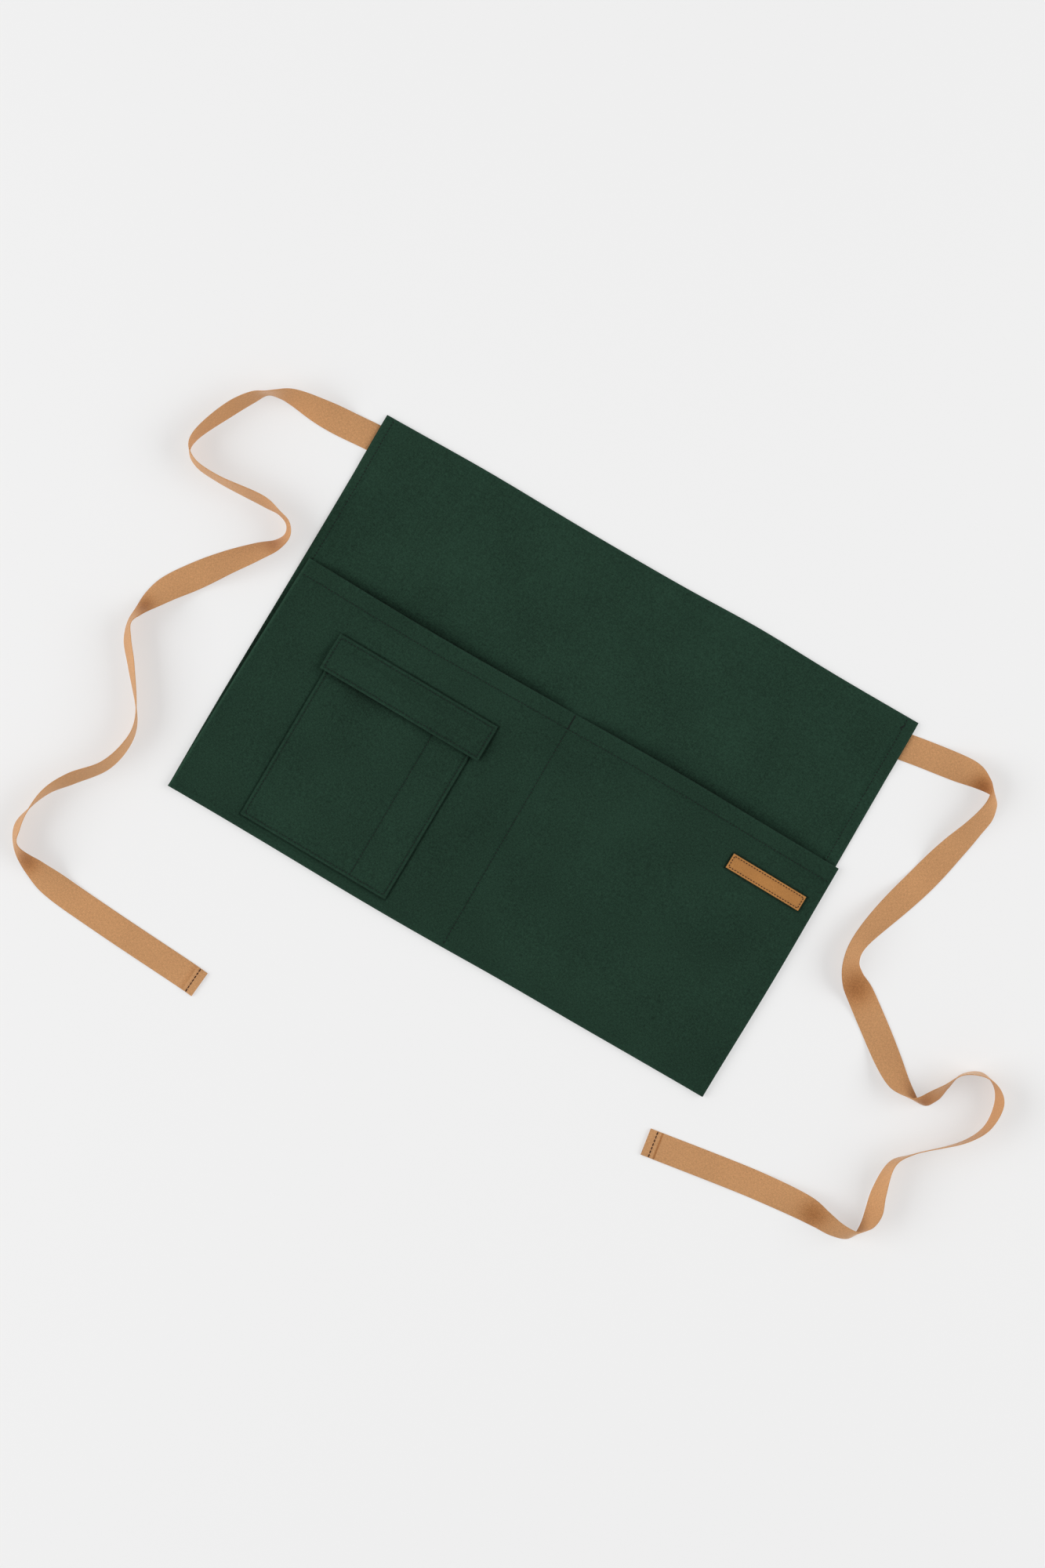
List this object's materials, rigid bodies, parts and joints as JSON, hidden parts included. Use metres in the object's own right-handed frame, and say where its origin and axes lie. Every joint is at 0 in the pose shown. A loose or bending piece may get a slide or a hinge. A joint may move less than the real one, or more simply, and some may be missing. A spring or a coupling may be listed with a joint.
{
  "type": "gardening apron",
  "caption": "Canvas waist apron with deep front pockets, a flapped patch pocket with a pen slot, a plain leather strip and long cotton tape ties, lying flat.",
  "frame": {"origin": "middle of the body panel's flat underside, on the surface that the apron lies on", "axes": "+X along the waist towards the leather strip, +Y up the panel to the waist edge, +Z out of the front face"},
  "size_m": [0.9131, 0.5314, 0.0251],
  "materials": {
    "canvas": "dark green cotton canvas, plain weave, matt",
    "tape": "tan cotton twill tape, fine diagonal ribs, matt",
    "leather": "natural tan leather, fine grain, low sheen"
  },
  "bodies": {
    "root": {"body_panel": "canvas", "pocket_panel": "canvas", "patch_pocket": "canvas", "pocket_flap": "canvas", "label_patch": "leather", "tie_left": "tape", "tie_right": "tape"}
  },
  "joints": []
}
